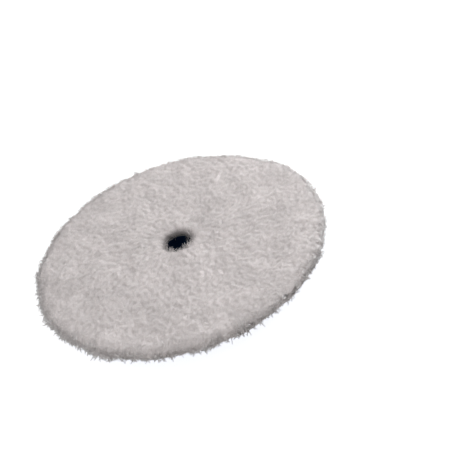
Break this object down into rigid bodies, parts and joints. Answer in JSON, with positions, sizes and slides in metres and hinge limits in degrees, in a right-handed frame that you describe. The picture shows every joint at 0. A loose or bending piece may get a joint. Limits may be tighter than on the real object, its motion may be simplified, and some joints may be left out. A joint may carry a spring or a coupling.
{
  "type": "polishing pad",
  "caption": "Round microfibre polishing pad: white pile face on a blue foam core with a flared edge, brushed loop backing and a central hole.",
  "frame": {"origin": "centre of the loop face, on the pad's axis", "axes": "+Z along the pad's axis, from the loop face towards the pile"},
  "size_m": [0.15, 0.15, 0.015],
  "materials": {
    "brushed_loop": "matte",
    "loop_knit": "matte",
    "hot_melt_film": "satin",
    "blue_foam": "matte",
    "pile_knit": "matte",
    "microfibre_pile": "matte",
    "print_ink": "matte"
  },
  "bodies": {
    "backing_side": {"loop_pile": "brushed_loop", "loop_cloth": "loop_knit", "loop_film": "hot_melt_film", "printed_rings": "print_ink", "foam_core": "blue_foam"},
    "face_side": {"face_film": "hot_melt_film", "face_cloth": "pile_knit", "face_pile": "microfibre_pile"}
  },
  "joints": [
    {"name": "foam_compression", "type": "slide", "parent": "backing_side", "child": "face_side", "axis": [0, 0, -1], "range_m": [0, 0.003], "stiffness_N_per_m": 20000, "deforming": ["foam_core"]}
  ]
}
